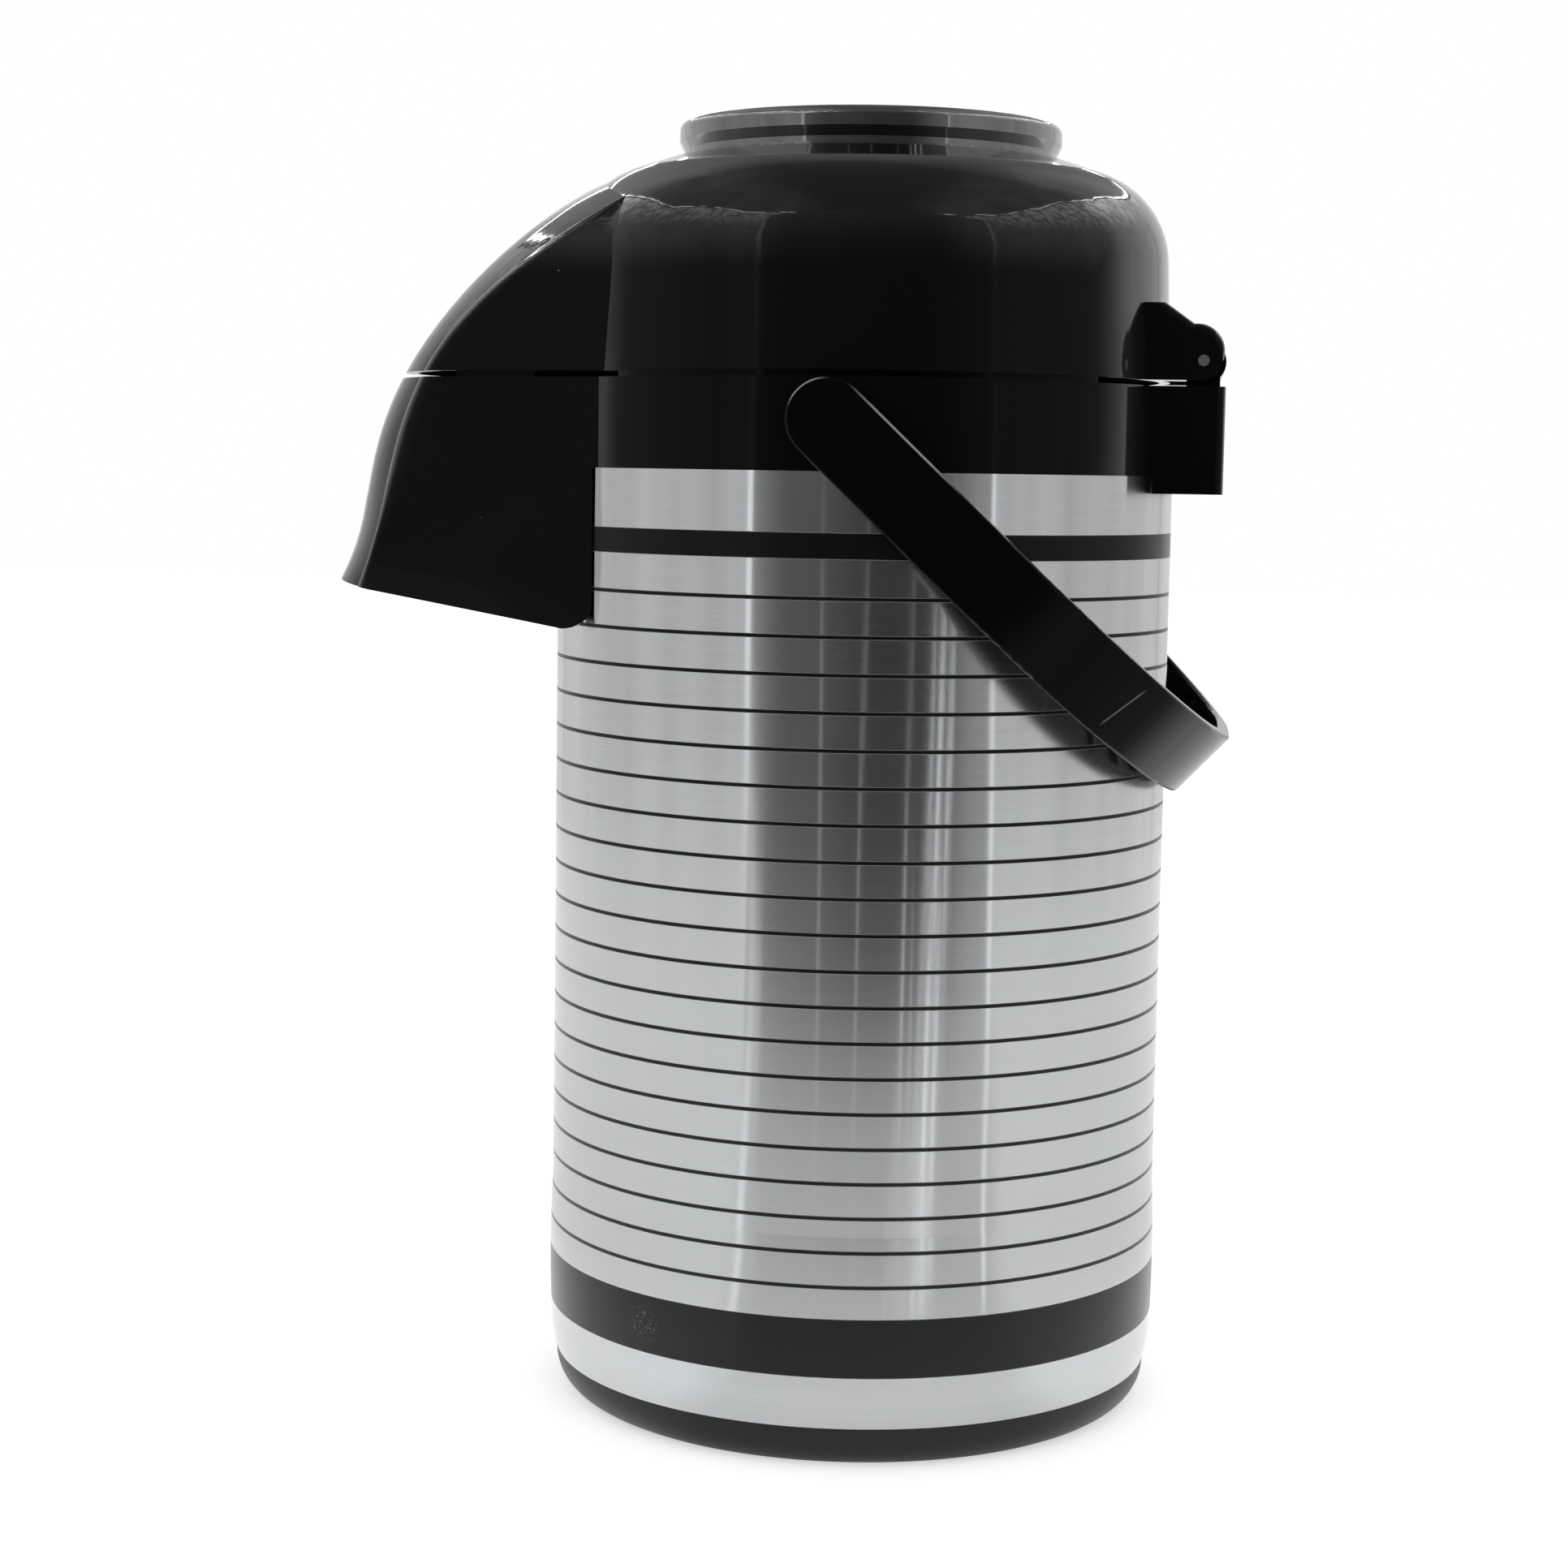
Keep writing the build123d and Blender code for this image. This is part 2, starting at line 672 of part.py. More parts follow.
def bail_pivots():
    """Headed studs that hold the bail to the collar, one each side."""
    studs = []
    inner = collar_wall_radius - pivot_boss_depth
    for side in (-1, 1):
        y0, y1 = sorted((side * (inner - past / 2), side * (bail_inner_y + pivot_depth - seat)))
        h0, h1 = sorted((side * inner, side * (inner - pivot_head_thick)))
        stud = bar_y(pivot_radius, y0, y1, 0, bail_pivot_z)
        studs.append(stud + bar_y(pivot_head_radius, h0, h1, 0, bail_pivot_z))
    return Compound(studs)


# Lid


def dome_face(cut, low):
    """Filled (r, z) profile of the dome, drawn in by cut."""
    top = edge_draw[1] * cut
    middle_r = lid_radius - round_middle[0] - round_draw[0] * cut
    middle = (middle_r, lid_low + round_middle[1] - round_draw[1] * cut)
    return outline(
        (0.0, low), (lid_radius - cut, low), (lid_radius - lid_draft - cut, shoulder_z),
        (middle, (dome_edge_radius - edge_draw[0] * cut, dome_edge_z - top)),
        (well_radius, dome_top_z - top), (0.0, dome_top_z - top),
    )


def lid_cavity():
    """Space inside the lid, with the button's well and its sleeve left standing."""
    sleeve = tube(well_radius + sleeve_wall, well_radius, sleeve_bottom, dome_top_z)
    guide = tube(well_radius + past / 2, button_skirt_radius + 1.5 * seat, guide_ring_low, guide_ring_high)
    space = turned(dome_face(lid_wall, collar_top - far)) - sleeve
    return space + tube(well_radius, 0, collar_top - far, dome_top_z + past) - guide


def hinge_ear(side):
    """One ear of the lid's hinge, a wedge running out and round the pin."""
    root_x = lid_inner - ear_root
    inner, outer = knuckle_half_width + knuckle_side_gap, hinge_half_width
    bulge = 0.5 * (ear_radius + sqrt((ear_slope_x - hinge_x) ** 2 + (ear_slope_z - hinge_z) ** 2))
    lean = 0.5 * atan2(ear_slope_z - hinge_z, ear_slope_x - hinge_x)
    wedge = outline(
        (root_x, lid_low), (hinge_x, lid_low), (hinge_x, hinge_z), (hinge_x + ear_radius, hinge_z),
        ((hinge_x + bulge * cos(lean), hinge_z + bulge * sin(lean)), (ear_slope_x, ear_slope_z)),
        (lid_radius - lid_draft, ear_top_z), (root_x, ear_top_z),
    )
    ear = side_slab(wedge, inner, outer) + bar_y(ear_radius, inner, outer, hinge_x, hinge_z)
    rounded = []
    for edge in ear.edges():
        x, y, z = edge.center()
        if y > outer - 0.01 and x > lid_radius - past and z > hinge_z + past:
            rounded.append(edge)
    ear = fillet(rounded, ear_edge_round)
    return ear if side > 0 else mirror(ear, Plane.XZ)


def lid_shell(outer, cavity):
    """Lid with the upper half of the hood, the hinge ears and the screw bosses."""
    dome = turned(dome_face(0.0, lid_low))
    upper = block(-3 * body_radius, 0, -body_radius, body_radius, lid_low, button_top)
    shell = dome + (outer & upper)
    shell += hinge_ear(1) + hinge_ear(-1)
    shell -= lid_cavity()
    hood_space = cavity & upper.moved(Location((0, 0, -parting_gap - past)))
    shell -= hood_space - tube(base_screw_circle + screw_boss + boss_margin, 0, casing_top, button_top)
    for x, y in base_screw_points():
        boss = tube(screw_boss, screw_shank + running, lid_base_high, dome_top_z, x, y)
        boss += tube(screw_boss, 0, lid_base_high + screw_bite, dome_top_z, x, y)
        shell += boss & turned(dome_face(past, lid_low))
    return shell - hinge_bore()


def hinge_pin():
    """Steel pin through the ears and the knuckle."""
    y = hinge_half_width - fit_gap
    return bar_y(hinge_pin_radius, -y, y, hinge_x, hinge_z)


def lid_base():
    """Plate that closes the lid, carries the bellows and ends in the air outlet."""
    plate = tube(lid_inner - lid_base_gap, 0, lid_base_low, lid_base_high)
    plate += tube(outlet_radius, 0, stopper_top + outlet_lift, lid_base_low, outlet_x)
    plate -= tube(outlet_bore, 0, stopper_top, lid_base_high + past, outlet_x)
    for x, y in base_screw_points():
        plate -= tube(screw_shank + seat, 0, lid_base_low - past, lid_base_high + past, x, y)
    return plate


def base_screw_points():
    """Centres of the screws that hold the lid base."""
    return around(base_screw_count, base_screw_circle, base_screw_turn)


def plate_screw_points():
    """Centres of the screws that hold the press plate."""
    return around(plate_screw_count, plate_screw_circle, plate_screw_turn)


def screws(points, low, up):
    """Pan-head screws at the points, heads at the low end, reaching up past the head."""
    group = []
    for x, y in points:
        screw = tube(screw_shank, 0, low, low + screw_head_height + up, x, y)
        group.append(screw + tube(screw_head, 0, low, low + screw_head_height, x, y))
    return Compound(group)


def outlet_seal():
    """Rubber ring on the lid's air outlet that closes against the pump head."""
    return tube(outlet_seal_radius, outlet_radius + running, stopper_top + seat, lid_base_low, outlet_x)


# Push button and pump


def push_button():
    """Cap with a guide skirt, three snap lugs and three screw bosses."""
    r, wall = button_skirt_radius, button_wall
    under = button_side_top - button_wall
    crown = (button_radius / 2, button_top - button_crown_sag)
    edge = (button_radius - button_edge[0], button_side_top + button_edge[1])
    middle = (button_radius - edge_middle[0], button_side_top + edge_middle[1])
    section = outline(
        (0.0, button_top), (crown, edge), (middle, (button_radius, button_side_top - button_edge_drop)),
        (button_radius, button_side_low), (r, button_under_z), (r, button_skirt_low),
        (r - wall, button_skirt_low), (r - wall, under - button_inner_round), (0.0, under),
    )
    cap = turned(section)
    reach = well_radius + past
    spread = reach * sin(radians(lug_half_angle))
    wedge = block(reach / 2, reach, -spread, spread, button_skirt_low - past, button_skirt_low + far)
    ring = tube(well_radius - 1.5 * seat, r - wall, button_skirt_low, button_skirt_low + lug_height)
    for i in range(lug_count):
        cap += ring & Rot(0, 0, 360 / lug_count * i) * wedge
    for x, y in plate_screw_points():
        cap += tube(screw_boss, screw_shank + running, plate_high, under + past / 2, x, y)
    return cap


def press_plate():
    """Plate under the button that the bellows closes against, with its air holes."""
    plate = tube(plate_radius, 0, plate_low, plate_high)
    low, high = plate_low - past, plate_high + past
    plate -= tube(flap_stem + running, 0, low, high)
    for x, y in around(plate_hole_count, plate_hole_circle):
        plate -= tube(plate_hole_radius, 0, low, high, x, y)
    for x, y in plate_screw_points():
        plate -= tube(screw_shank + seat, 0, low, high, x, y)
    return plate


def intake_flap():
    """Rubber flap that covers the plate's air holes from inside, held by its own stem."""
    flap = tube(flap_radius, 0, plate_low - flap_thick, plate_low)
    flap += tube(flap_stem, 0, plate_low, plate_high)
    return flap + tube(flap_knob, 0, plate_high, plate_high + flap_thick)


def bellows():
    """Folded rubber bellows between the lid base and the press plate."""
    low, high = lid_base_high, plate_low
    fold = (high - low - 2 * bellows_flange) / bellows_folds
    start = low + bellows_flange
    outside, inside = [], []
    for i in range(bellows_folds):
        z = start + i * fold
        outside += [(bellows_valley, z), (bellows_radius, z + fold / 2)]
        inside += [(bellows_valley - bellows_wall, z), (bellows_radius - bellows_fold_wall, z + fold / 2)]
    end = start + bellows_folds * fold
    points = [(bellows_valley, low)] + outside + [(bellows_valley, end), (bellows_valley, high)]
    back = [(bellows_valley - bellows_wall, high), (bellows_valley - bellows_wall, end)] + inside[::-1]
    points += back + [(bellows_valley - bellows_wall, low)]
    return turned(make_face(Polyline(*points, close=True)))


def pump_spring():
    """Compression spring inside the bellows, as arcs of a quarter turn."""
    half = spring_wire / 2
    low, high = lid_base_high + half + spring_gap, plate_low - half - spring_gap
    steps = spring_turns * 4

    def at(quarter):
        angle = radians(90 * quarter)
        return (spring_radius * cos(angle), spring_radius * sin(angle), low + (high - low) * quarter / steps)

    path = Wire([ThreePointArc(at(i), at(i + 0.5), at(i + 1)) for i in range(steps)])
    lead = path.edges()[0] % 0
    section = Plane(origin=at(0), z_dir=lead) * Circle(half)
    return sweep(section, path=path)


# Pump head and pouring tube


def pump_head():
    """Stopper in the neck with the air port, the riser and the side port of the pouring tube."""
    head = tube(stopper_radius, 0, stopper_low, stopper_top)
    head += tube(stopper_flange, 0, stopper_low, stopper_low + stopper_flange_thick)
    head += tube(stopper_plug_radius, 0, stopper_plug_low, stopper_low)
    head -= tube(outlet_bore - outlet_step, 0, stopper_plug_low - past, stopper_top + past, outlet_x)
    grip_top = stopper_plug_low + dip_tube_grip
    head -= tube(dip_tube_radius + running, 0, stopper_plug_low - past, grip_top, riser_x)
    head -= tube(dip_tube_radius - dip_tube_wall, 0, grip_top - past, pour_z, riser_x)
    head -= bar_x(dip_tube_radius - dip_tube_wall, -stopper_radius, riser_x, 0, pour_z)
    port_end = port_depth - stopper_radius
    return head - bar_x(pour_tube_radius + running, -stopper_radius - past, port_end, 0, pour_z)


def flat_seal():
    """Flat rubber ring under the pump head's flange."""
    return tube(stopper_flange, deck_bore + fit_gap, deck_high, stopper_low)


def dip_tube():
    """Tube from the pump head to near the bottom of the flask."""
    return tube(dip_tube_radius, dip_tube_radius - dip_tube_wall, dip_tube_low,
                stopper_plug_low + dip_tube_grip, riser_x)


def pour_tube():
    """Pouring tube: level out of the pump head, one bend, then down inside the hood."""
    start = (port_depth - stopper_radius, 0, pour_z)
    bend_start = (pour_drop_x + pour_bend, 0, pour_z)
    bend_end = (pour_drop_x, 0, pour_z - pour_bend)
    middle = pour_bend * (1 - sin(pi / 4))
    through = (pour_drop_x + middle, 0, pour_z - middle)
    path = Wire([Line(start, bend_start), ThreePointArc(bend_start, through, bend_end),
                 Line(bend_end, (pour_drop_x, 0, pour_tube_low))])
    ring = Circle(pour_tube_radius) - Circle(pour_tube_radius - pour_tube_wall)
    return sweep(Plane(origin=start, z_dir=(-1, 0, 0)) * ring, path=path)


def spout_tip():
    """Nozzle pushed over the end of the pouring tube."""
    tip_low, tip_top = pour_tube_low - tip_drop, pour_tube_low + tip_grip
    tip = tube(pour_tube_radius + tip_wall, 0, tip_low, tip_top, pour_drop_x)
    tip -= tube(pour_tube_radius + running, 0, pour_tube_low - running, tip_top + past, pour_drop_x)
    tip -= tube(pour_tube_radius - pour_tube_wall, 0, tip_low - past, tip_top, pour_drop_x)
    return tip


# Build every sub-part

hood_outer = hood_form()
hood_cavity = hood_form(hood_wall, -far).moved(Location((0, 0, -hood_roof_drop)))
base_screw_low, base_screw_up = lid_base_low - screw_head_height, lid_base_thick + screw_bite - past
plate_screw_low, plate_screw_up = plate_low - screw_head_height, plate_thick + plate_screw_bite

place("outer_casing", outer_casing())
place("base_ring", base_ring())
place("base_plug", base_plug())
place("liner_cushion", liner_cushion())
place("liner_outer", liner_outer())
place("liner_heel", inner_bottle(flask_bottom - past, flask_wall_low - glass_seam))
place("liner_inner", inner_bottle(flask_wall_low, flask_wall_high))
place("liner_neck", inner_bottle(flask_wall_high + glass_seam, liner_lip_z + past))
place("liner_spacers", liner_spacers())
place("neck_seal", neck_seal())
place("collar", collar(hood_outer, hood_cavity))
place("pump_head", pump_head())
place("flat_seal", flat_seal())
place("dip_tube", dip_tube())
place("pour_tube", pour_tube())
place("spout_tip", spout_tip())
place("bail_handle", bail_handle())
place("bail_pivots", bail_pivots())
place("lid_shell", lid_shell(hood_outer, hood_cavity))
place("hinge_pin", hinge_pin())
place("lid_base", lid_base())
place("lid_screws", screws(base_screw_points(), base_screw_low, base_screw_up))
place("outlet_seal", outlet_seal())
place("push_button", push_button())
place("press_plate", press_plate())
place("plate_screws", screws(plate_screw_points(), plate_screw_low, plate_screw_up))
place("intake_flap", intake_flap())
place("bellows", bellows())
place("pump_spring", pump_spring())
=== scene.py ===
import bpy
import json
from math import cos, radians, sin
from mathutils import Matrix, Vector


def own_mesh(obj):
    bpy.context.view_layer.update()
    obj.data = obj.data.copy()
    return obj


# Vacuum pump flask. Metres, +Z up, spout towards -X, lid hinge towards +X, near bail pivot towards -Y.

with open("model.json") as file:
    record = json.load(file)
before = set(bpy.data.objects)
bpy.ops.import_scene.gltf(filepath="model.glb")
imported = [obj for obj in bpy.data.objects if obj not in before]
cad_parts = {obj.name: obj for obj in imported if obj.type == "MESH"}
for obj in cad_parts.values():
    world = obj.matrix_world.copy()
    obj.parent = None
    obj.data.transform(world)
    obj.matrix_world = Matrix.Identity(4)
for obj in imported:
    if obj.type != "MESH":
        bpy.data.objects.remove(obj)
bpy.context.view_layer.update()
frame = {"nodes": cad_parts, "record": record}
nodes = frame["nodes"]

# The photograph's camera stands to the right of the near side by this angle
camera_turn = radians(6.3)
camera_distance = 0.8383
camera_height = 0.25825
camera_yaw = radians(-1.444)
camera_pitch = radians(-5.996)
camera_roll = radians(0.901)
camera_lens = 68.715

# Printed rings and bands on the casing, by height
ring_first = 0.0490
ring_pitch = 0.00895    # at the lowest ring
ring_growth = 0.0000194  # the next rings stand this much further apart, and the same again after each half step
ring_count = 20
ring_half = 0.0005
band_low = (0.0250, 0.0406)
band_high = (0.2360, 0.2426)
ink_edge = 0.00012

casing_radius = 0.085
bail_slope = 43.5       # degrees below the level, at rest
bail_pivot_height = 0.271


def from_camera_side(x, y, z):
    """Point in a frame turned so that the camera stands straight in front, at -y."""
    return Vector((x * cos(camera_turn) - y * sin(camera_turn), x * sin(camera_turn) + y * cos(camera_turn), z))


scuff_place = from_camera_side(-0.0545, -0.0655, 0.0325)  # a rubbed spot on the lower band


# Shader building


class Signal:
    """One output of a shader node. Arithmetic on it adds Math nodes."""

    def __init__(self, paint, socket):
        self.paint = paint
        self.socket = socket

    def math(self, operation, *values):
        return self.paint.node("ShaderNodeMath", {"operation": operation}, dict(enumerate(values)))

    def __add__(self, other):
        return self.math("ADD", self, other)

    def __radd__(self, other):
        return self.math("ADD", other, self)

    def __sub__(self, other):
        return self.math("SUBTRACT", self, other)

    def __rsub__(self, other):
        return self.math("SUBTRACT", other, self)

    def __mul__(self, other):
        return self.math("MULTIPLY", self, other)

    def __rmul__(self, other):
        return self.math("MULTIPLY", other, self)

    def __truediv__(self, other):
        return self.math("DIVIDE", self, other)

    def above(self, edge, soft):
        """0 below edge, 1 above it, with a soft step."""
        return self.paint.node(
            "ShaderNodeMapRange", {"interpolation_type": "SMOOTHSTEP"},
            {"Value": self, "From Min": edge - soft, "From Max": edge + soft},
        )

    def below(self, edge, soft):
        return 1.0 - self.above(edge, soft)

    def between(self, low, high, soft):
        return self.above(low, soft) * self.below(high, soft)

    def most(self, other):
        return self.math("MAXIMUM", self, other)

    def size(self):
        return self.math("ABSOLUTE", self)

    def clipped(self):
        return self.paint.node("ShaderNodeClamp", {}, {"Value": self})


class Paint:
    """A material with one Principled surface, built node by node."""

    def __init__(self, name):
        self.material = bpy.data.materials.new(name)
        self.material.use_nodes = True
        self.tree = self.material.node_tree
        self.surface = self.tree.nodes["Principled BSDF"]
        self.place = self.node("ShaderNodeTexCoord", {}, {}, "Object")
        parts = self.node("ShaderNodeSeparateXYZ", {}, {"Vector": self.place}, None)
        self.x, self.y, self.z = (Signal(self, parts.outputs[i]) for i in range(3))

    def node(self, kind, settings, values, output=0):
        """Add a node: settings first, then sockets by name or number. Gives one output, or the node for None."""
        made = self.tree.nodes.new(kind)
        for key, setting in settings.items():
            setattr(made, key, setting)
        for key, value in values.items():
            if isinstance(value, Signal):
                self.tree.links.new(value.socket, made.inputs[key])
            else:
                made.inputs[key].default_value = value
        return made if output is None else Signal(self, made.outputs[output])

    def point(self, x, y, z):
        return self.node("ShaderNodeCombineXYZ", {}, {"X": x, "Y": y, "Z": z})

    def noise(self, vector, scale, detail=3.0, roughness=0.5):
        """Soft random field, about 0 to 1."""
        values = {"Vector": vector, "Scale": scale, "Detail": detail, "Roughness": roughness}
        return self.node("ShaderNodeTexNoise", {}, values, "Fac")

    def blend(self, factor, first, second):
        """Colour that goes from first to second."""
        values = {"Factor": factor, 6: first, 7: second}
        return self.node("ShaderNodeMix", {"data_type": "RGBA", "clamp_factor": True}, values, 2)

    def bump(self, height, depth):
        """Bump of this depth in metres."""
        values = {"Height": height, "Distance": depth, "Strength": 1.0}
        return self.node("ShaderNodeBump", {}, values, "Normal")

    def finish(self, **inputs):
        """Set the surface's own sockets; an underscore stands for a space."""
        for key, value in inputs.items():
            socket = self.surface.inputs[key.replace("_", " ")]
            if isinstance(value, Signal):
                self.tree.links.new(value.socket, socket)
            else:
                socket.default_value = value
        return self.material


def grey(level, cool=0.0):
    """A near-grey colour, a little cooler by cool."""
    return (level * (1.0 - cool), level, level * (1.0 + cool), 1.0)


def specks(paint, pitch, size, share):
    """Sparse small dots: dust. Only in a share of the cells of this pitch."""
    where = paint.node("ShaderNodeTexVoronoi", {}, {"Vector": paint.place, "Scale": 1.0 / pitch}, None)
    pick = Signal(paint, where.outputs["Color"])
    chosen = paint.node("ShaderNodeSeparateColor", {}, {"Color": pick}).below(share, 0.001)
    return Signal(paint, where.outputs["Distance"]).below(size / pitch, 0.3 * size / pitch) * chosen


def casing_steel():
    """Satin steel brushed round the body, with the printed rings and bands."""
    p = Paint("casing_steel")
    turn = p.y.math("ARCTAN2", p.y, p.x)
    round_run = turn * casing_radius
    grain = p.noise(p.point(round_run / 0.014, 0.0, p.z / 0.00035), 1.0, 4.0, 0.6)
    streak = p.noise(p.point(round_run / 0.05, 1.7, p.z / 0.0016), 1.0, 3.0, 0.6)
    cloud = p.noise(p.place, 28.0, 2.0)
    waver = (p.noise(p.point(round_run / 0.004, 0.0, p.z / 0.05), 1.0) - 0.5) * 0.00008
    height = p.z + waver
    root = (height - ring_first) * (4 * ring_growth) + ring_pitch**2
    number = (root.math("SQRT", root) - ring_pitch) / (2 * ring_growth)
    beside = (number + 0.5).math("FLOORED_MODULO", number + 0.5, 1.0) - 0.5
    rings = (beside.size() * (number * (2 * ring_growth) + ring_pitch)).below(ring_half, ink_edge)
    rings = rings * number.between(-0.5, ring_count - 0.5, 0.05)
    bands = height.between(*band_low, ink_edge).most(height.between(*band_high, ink_edge))
    ink = rings.most(bands)
    bare = p.blend(grain * 0.6 + streak * 0.4, grey(0.54, 0.018), grey(0.66, 0.026))
    bare = p.blend(cloud.above(0.55, 0.2) * 0.3, bare, grey(0.60, 0.01))
    ink_tone = p.blend(streak, grey(0.0035, 0.10), grey(0.0055, 0.10))
    near_scuff = p.node("ShaderNodeVectorMath", {"operation": "DISTANCE"}, {0: p.place, 1: scuff_place}, "Value")
    scuff = near_scuff.below(0.0042, 0.0025) * p.noise(p.place, 1500.0, 2.0).above(0.60, 0.03)
    ink_tone = p.blend(scuff, ink_tone, grey(0.12))
    colour = p.blend(ink, bare, ink_tone)
    rough = 0.115 + grain * 0.03 + cloud * 0.015
    rough = rough + ink * (0.34 - rough)
    normal = p.bump(grain * 0.4 + ink * 6.0, 0.000002)
    return p.finish(
        Base_Color=colour, Metallic=1.0 - ink, Roughness=rough, Normal=normal,
        Anisotropic=1.0, Anisotropic_Rotation=0.25, Specular_IOR_Level=0.10,
        Coat_Weight=ink * p.z.below(0.12, 0.10) * 0.55, Coat_Roughness=0.22,
    )


def bail_seam_and_painted_highlights(p):
    """Faint lighter line along the bail's parting line, and painted highlights on its upper edges and ends at the
    pivots.
    """
    slope = radians(bail_slope)
    rise = p.z - bail_pivot_height
    along = p.x * cos(slope) - rise * sin(slope)
    across = p.x * sin(slope) + rise * cos(slope)
    parting = (along - across * 0.15 - 0.1035).size().below(0.00020, 0.00012) * across.between(-0.0066, 0.0062, 0.0012)
    # Painted highlights: a light line on the upper edge beside each pivot, and a light arc round each rounded end.
    upper_edge_highlight = across.above(0.0100, 0.0002) * along.between(0.003, 0.032, 0.007)
    reach = (along * along + across * across).math("SQRT", along * along + across * across)
    end_edge_highlight = reach.above(0.0100, 0.0002) * along.below(-0.004, 0.003) * across.between(-0.003, 0.006, 0.002)
    return (parting * 0.4).most(upper_edge_highlight).most(end_edge_highlight)


def moulded_black(name, level, sheen, rough, texture, dust, glance=0.0, polished_above=None, marks=None):
    """Black moulded plastic: fine skin, faint flow marks and a little dust.

    Glance is its gloss seen from the side. Above the given height it is glossy from all sides.
    """
    p = Paint(name)
    flow = p.noise(p.place, 14.0, 2.0)
    skin = p.noise(p.place, 2600.0, 2.0)
    smear = p.noise(p.point(p.x * 40.0, p.y * 40.0, p.z * 9.0), 1.0, 4.0, 0.6)
    dots = specks(p, 0.011, 0.00018, dust)
    colour = p.blend(flow, grey(level * 0.8), grey(level * 1.2, 0.05))
    colour = p.blend(dots, colour, grey(0.25))
    # The marks are painted lighter in colour: painted highlights, and on the bail a faint lighter parting line.
    if marks:
        colour = p.blend(marks(p), colour, grey(0.30))
    roughness = rough + (smear - 0.5) * rough * 0.35 + dots * 0.4
    normal = p.bump(skin * texture + flow * 3.0, 0.00002)
    if glance:
        facing = p.node("ShaderNodeLayerWeight", {}, {"Blend": 0.5}, "Facing")
        gloss = (facing + p.x.above(0.02, 0.02) * 0.07).above(0.50, 0.10) * (1.0 - p.x.below(-0.084, 0.008) * 0.6) * glance
        if polished_above:
            gloss = gloss.most(p.z.above(polished_above, 0.006) * 0.42)
        p.finish(Coat_Weight=gloss, Coat_Roughness=0.04, Coat_IOR=1.65)
    return p.finish(Base_Color=colour, Roughness=roughness, Specular_IOR_Level=sheen, Normal=normal)


def silvered_glass():
    """Mirror silvering behind glass, with faint clouding."""
    p = Paint("silvered_glass")
    cloud = p.noise(p.place, 45.0, 4.0)
    colour = p.blend(cloud, (0.78, 0.80, 0.80, 1.0), (0.90, 0.90, 0.87, 1.0))
    rough = 0.03 + cloud.above(0.6, 0.1) * 0.08
    return p.finish(Base_Color=colour, Metallic=1.0, Roughness=rough, Coat_Weight=1.0, Coat_Roughness=0.02)


def pale_plastic():
    """Off-white food-grade plastic with a faint milky grain."""
    p = Paint("pale_plastic")
    cloud = p.noise(p.place, 60.0, 4.0)
    skin = p.noise(p.place, 1900.0, 2.0)
    colour = p.blend(cloud, (0.70, 0.69, 0.65, 1.0), (0.76, 0.75, 0.72, 1.0))
    rough = 0.38 + cloud * 0.1
    return p.finish(
        Base_Color=colour, Roughness=rough, Normal=p.bump(skin, 0.00002),
        Subsurface_Weight=0.15, Subsurface_Scale=0.002,
    )


def grey_rubber():
    """Matt food rubber, slightly blotched."""
    p = Paint("grey_rubber")
    cloud = p.noise(p.place, 90.0, 5.0)
    skin = p.noise(p.place, 3200.0, 3.0)
    colour = p.blend(cloud, grey(0.26), grey(0.33))
    return p.finish(Base_Color=colour, Roughness=0.62 + cloud * 0.15, Normal=p.bump(skin, 0.00004))


def fibre_pad():
    """Pressed fibre, with short strands."""
    p = Paint("fibre_pad")
    strands = p.noise(p.point(p.x * 900.0, p.y * 900.0, p.z * 4000.0), 1.0, 4.0)
    colour = p.blend(strands, (0.46, 0.43, 0.37, 1.0), (0.62, 0.59, 0.53, 1.0))
    return p.finish(Base_Color=colour, Roughness=0.85 + strands * 0.1, Normal=p.bump(strands, 0.0001))


def pin_steel():
    """Bright drawn wire, with fine lines."""
    p = Paint("pin_steel")
    lines = p.noise(p.point(p.x * 5000.0, p.y * 400.0, p.z * 5000.0), 1.0, 3.0)
    colour = p.blend(lines, grey(0.60), grey(0.72))
    return p.finish(Base_Color=colour, Metallic=1.0, Roughness=0.2 + lines * 0.15, Normal=p.bump(lines, 0.000004))


paints = {
    "casing_steel": casing_steel(),
    "head_black": moulded_black("head_black", 0.0028, 0.07, 0.10, 0.25, 0.10, 0.85),
    "bail_black": moulded_black("bail_black", 0.0016, 0.07, 0.22, 0.6, 0.05, 0.6, marks=bail_seam_and_painted_highlights),
    "foot_black": moulded_black("foot_black", 0.016, 0.3, 0.38, 1.0, 0.05),
    "silvered_glass": silvered_glass(),
    "pale_plastic": pale_plastic(),
    "nozzle_black": moulded_black("nozzle_black", 0.02, 0.4, 0.4, 1.0, 0.0),
    "grey_rubber": grey_rubber(),
    "fibre_pad": fibre_pad(),
    "pin_steel": pin_steel(),
}

for subpart in frame["record"]["subparts"]:
    made = nodes[subpart["node"]]
    made.data.materials.clear()
    made.data.materials.append(paints[subpart["material_slot"]])
nodes["lid_shell"].data.materials[0] = moulded_black("lid_black", 0.0036, 0.07, 0.10, 0.25, 0.10, 0.9, 0.314)


def button_black():
    """Polished black plastic of the button, glossier than the rest of the head."""
    p = Paint("button_black")
    smear = p.noise(p.point(p.x * 60.0, p.y * 60.0, p.z * 20.0), 1.0, 4.0, 0.6)
    dots = specks(p, 0.009, 0.00016, 0.10)
    colour = p.blend(dots, grey(0.003), grey(0.25))
    return p.finish(
        Base_Color=colour, Roughness=0.07 + smear * 0.03 + dots * 0.4, Specular_IOR_Level=1.0,
        Coat_Weight=0.65 + smear * 0.35, Coat_Roughness=0.03, Coat_IOR=2.2,
    )


nodes["push_button"].data.materials[0] = button_black()
